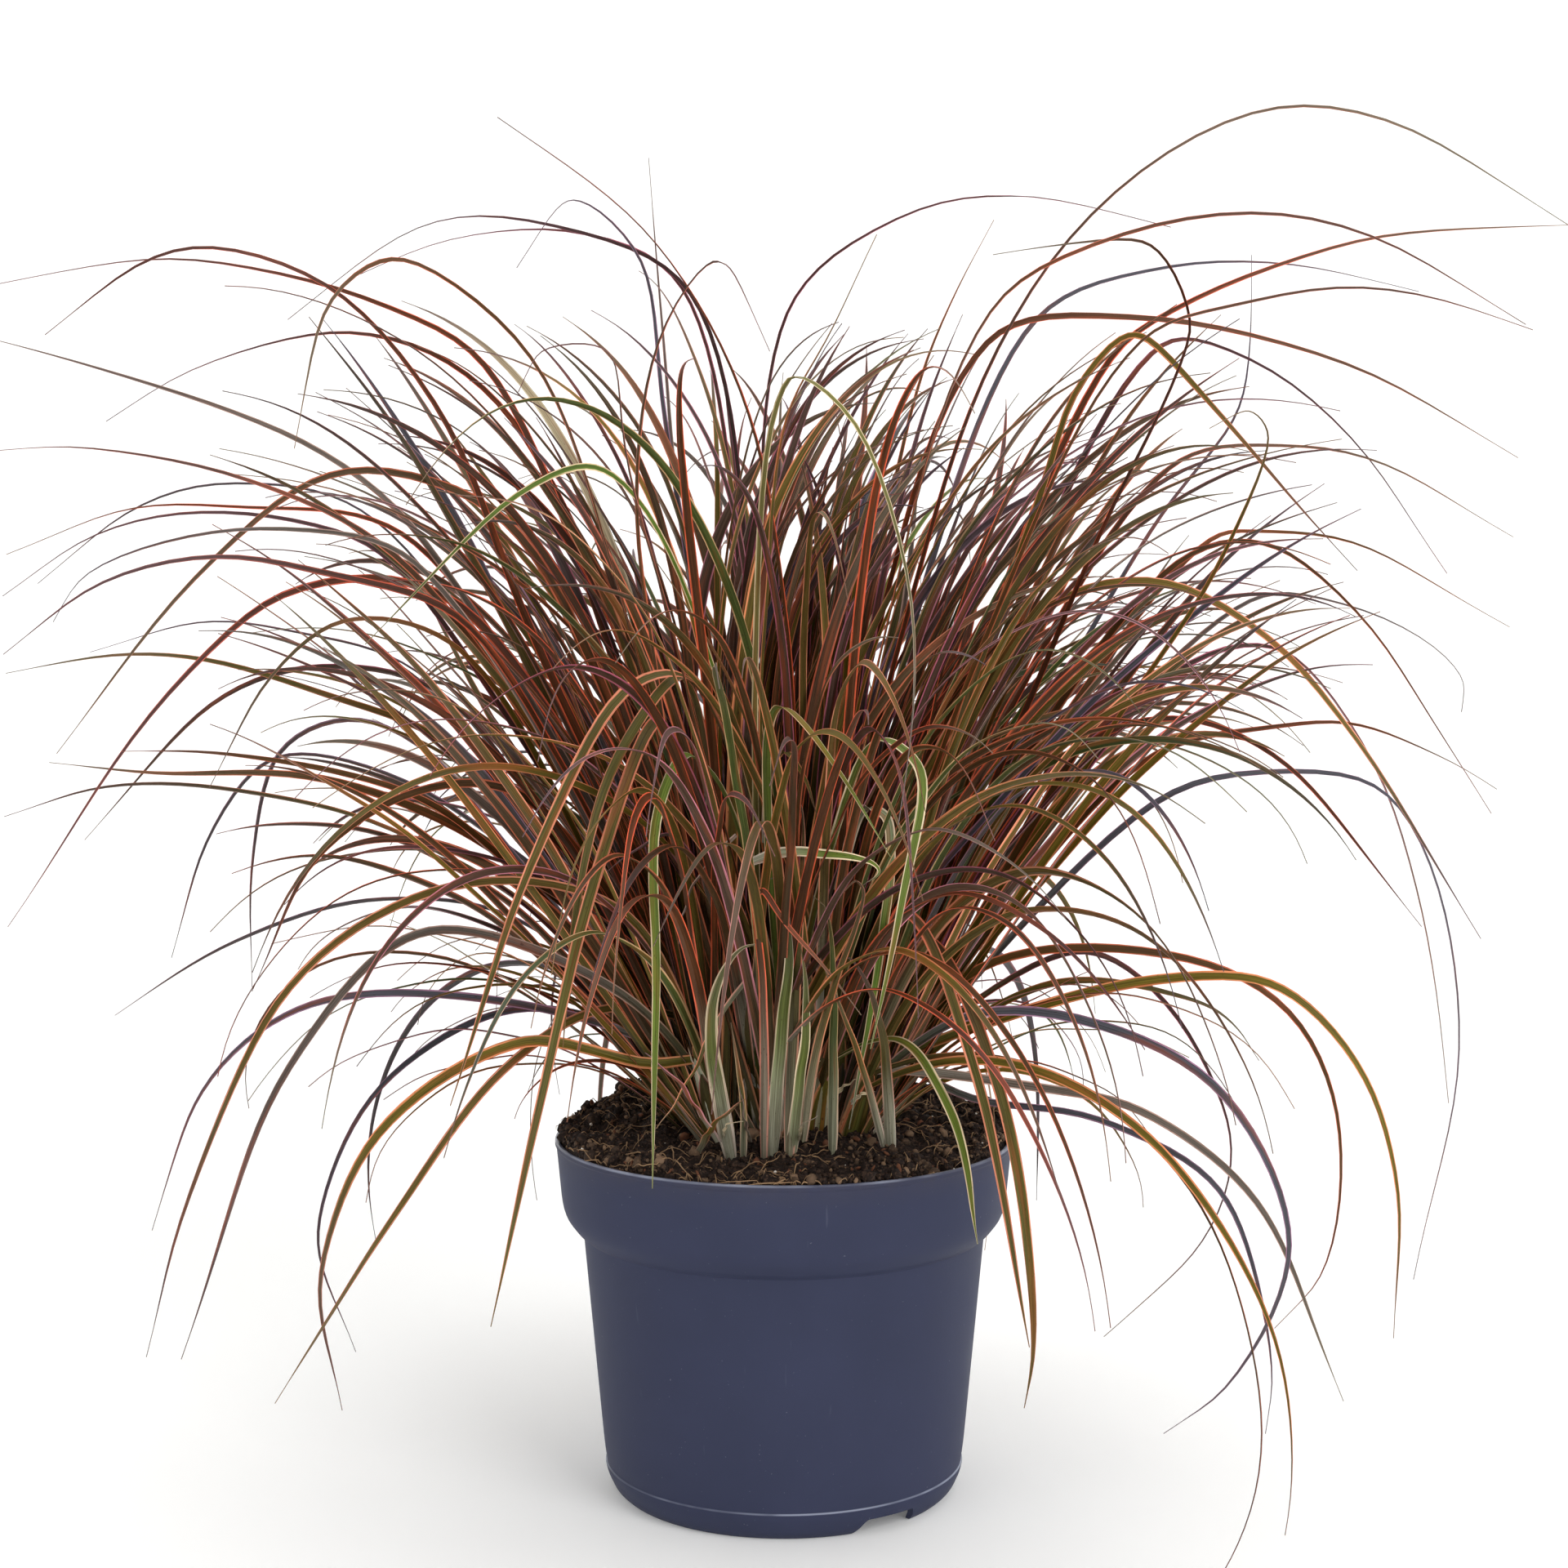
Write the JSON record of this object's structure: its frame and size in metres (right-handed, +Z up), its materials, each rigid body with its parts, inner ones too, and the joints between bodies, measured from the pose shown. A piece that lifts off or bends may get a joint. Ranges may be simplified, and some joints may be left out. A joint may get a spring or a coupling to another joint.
{
  "type": "potted red hook sedge",
  "caption": "Clump of narrow arching red-brown grass-like leaves growing in dark soil in a round tapered nursery pot with a deep rim collar.",
  "frame": {"origin": "on the floor under the middle of the pot and of the whole plant's spread", "axes": "+Z up, -Y towards the front as pictured, +X to the right; the spread along X is the longest extent and the height is the shortest"},
  "size_m": [0.6681, 0.6186, 0.5748],
  "materials": {
    "pot_plastic": "satin moulded polypropylene, slate blue",
    "soil": "matte dark peat with bark, fibres and perlite",
    "leaf_red": "satin red-brown leaf with coral edges",
    "leaf_olive": "satin olive-brown leaf with coral edges"
  },
  "bodies": {
    "root": {"pot": "pot_plastic", "potting_soil": "soil", "sedge_shoot_01": "leaf_red", "sedge_shoot_02": "leaf_olive", "sedge_shoot_03": "leaf_red", "sedge_shoot_04": "leaf_olive", "sedge_shoot_05": "leaf_red", "sedge_shoot_06": "leaf_olive", "sedge_shoot_07": "leaf_red", "sedge_shoot_08": "leaf_olive", "sedge_shoot_09": "leaf_red", "sedge_shoot_10": "leaf_olive", "sedge_shoot_11": "leaf_red", "sedge_shoot_12": "leaf_olive", "sedge_shoot_13": "leaf_red", "sedge_shoot_14": "leaf_olive", "sedge_shoot_15": "leaf_red", "sedge_shoot_16": "leaf_olive", "sedge_shoot_17": "leaf_red", "sedge_shoot_18": "leaf_olive", "sedge_shoot_19": "leaf_red", "sedge_shoot_20": "leaf_olive", "sedge_shoot_21": "leaf_red", "sedge_shoot_22": "leaf_olive"}
  },
  "joints": []
}
